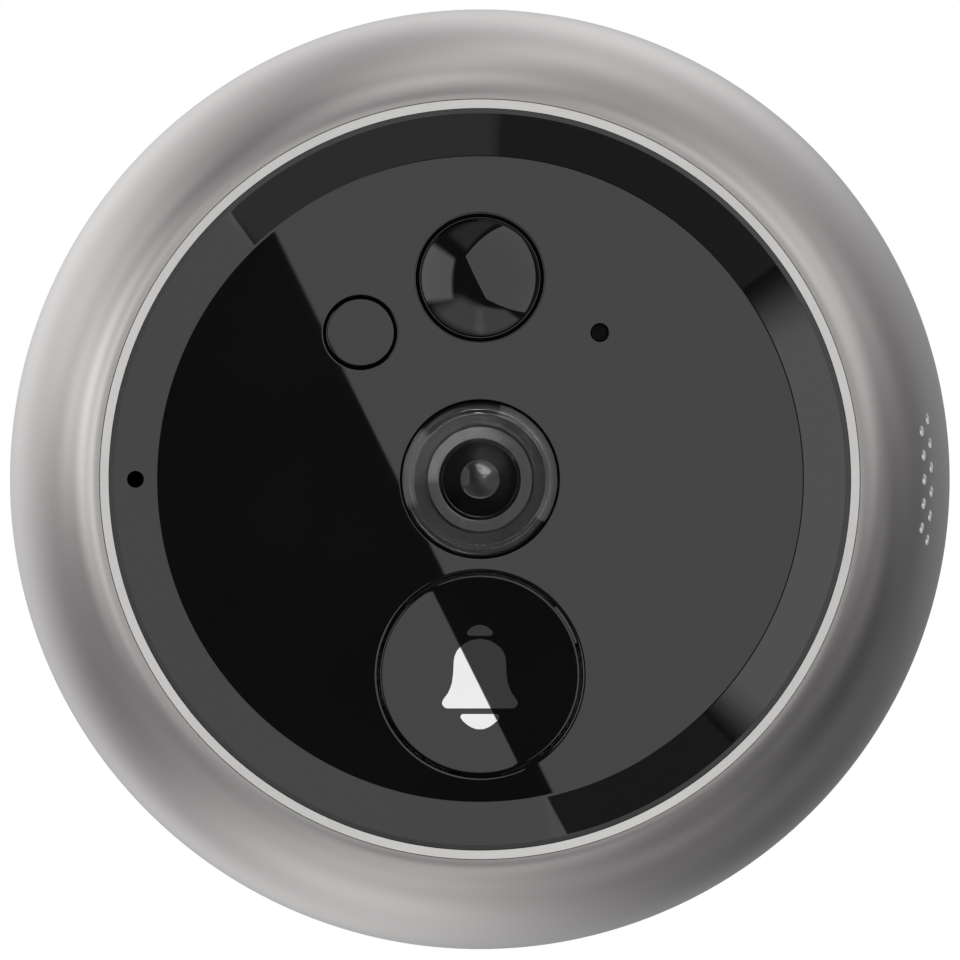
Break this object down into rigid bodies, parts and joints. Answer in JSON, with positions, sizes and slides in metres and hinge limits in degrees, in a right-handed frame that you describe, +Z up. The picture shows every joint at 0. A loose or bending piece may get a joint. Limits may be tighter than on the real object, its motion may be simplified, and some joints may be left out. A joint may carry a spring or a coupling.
{
  "type": "video door phone outdoor unit",
  "caption": "Round outdoor unit of a video door phone: a metal ring housing round a gloss face with camera, motion sensor, sounder holes and a pressable bell button.",
  "frame": {"origin": "on the unit's axis, in the plane of the door's surface, at the outer mouth of the cable passage", "axes": "+Y towards the door, so the face looks along -Y; +Z up; +X to the right of someone who looks at the face"},
  "size_m": [0.068, 0.0194, 0.068],
  "materials": {
    "satin_metal": "satin anodised, fine blasted grain",
    "bright_trim": "bright satin",
    "gloss_black": "mirror gloss",
    "tape": "matte",
    "inner_plastic": "fine moulded texture",
    "clear_cover": "polished clear",
    "lens_black": "dull black",
    "lens_glass": "coated optical glass",
    "filter_glass": "coated flat glass",
    "chip_black": "matte moulded",
    "dark_lens": "polished",
    "black_rubber": "matte",
    "sheet_steel": "plain tinned sheet",
    "dark_window": "polished, passes infrared",
    "lamp_epoxy": "clear tinted",
    "light_guide": "translucent",
    "board_green": "solder mask",
    "connector_cream": "matte",
    "switch_brown": "matte",
    "clear_silicone": "translucent matte",
    "foam_black": "closed-cell foam",
    "contact_gold": "plated spring",
    "rear_plastic": "fine moulded texture",
    "screw_steel": "zinc plated",
    "insert_brass": "machined"
  },
  "bodies": {
    "unit": {"housing_ring": "satin_metal", "trim_ring": "bright_trim", "front_panel": "gloss_black", "panel_tape": "tape", "front_frame": "inner_plastic", "lens_cover": "clear_cover", "lens_shroud": "lens_black", "lens_barrel": "lens_black", "lens_front_element": "lens_glass", "lens_inner_elements": "lens_glass", "lens_holder": "lens_black", "filter_pane": "filter_glass", "image_sensor": "chip_black", "pir_lens": "dark_lens", "pir_seal": "black_rubber", "pir_sensor": "sheet_steel", "infrared_window": "dark_window", "infrared_lamp": "lamp_epoxy", "light_pipe": "light_guide", "daylight_sensor": "chip_black", "microphone": "sheet_steel", "microphone_boot": "black_rubber", "main_board": "board_green", "processor_shield": "sheet_steel", "rear_board_chips": "chip_black", "cable_connector": "connector_cream", "switch_body": "chip_black", "button_lamps": "connector_cream", "button_seal": "clear_silicone", "speaker": "chip_black", "speaker_gasket": "foam_black", "speaker_mesh": "sheet_steel", "speaker_contacts": "contact_gold", "rear_cover": "rear_plastic", "cover_seal": "black_rubber", "rear_screws": "screw_steel", "board_screws": "screw_steel", "door_inserts": "insert_brass", "cable_grommet": "black_rubber", "foam_pad": "foam_black"},
    "button": {"button_cap": "gloss_black", "button_light_guide": "light_guide"},
    "plunger": {"switch_plunger": "switch_brown"}
  },
  "joints": [
    {"name": "button_press", "type": "slide", "parent": "unit", "child": "button", "axis": [0, 1, 0], "range_m": [0, 0.0004], "stiffness_N_per_m": 800, "deforming": ["button_seal"]},
    {"name": "plunger_press", "type": "slide", "parent": "unit", "child": "plunger", "axis": [0, 1, 0], "range_m": [0, 0.00045]}
  ],
  "couplings": [
    {"joint": "plunger_press", "follows": "button_press", "ratio": 1}
  ]
}
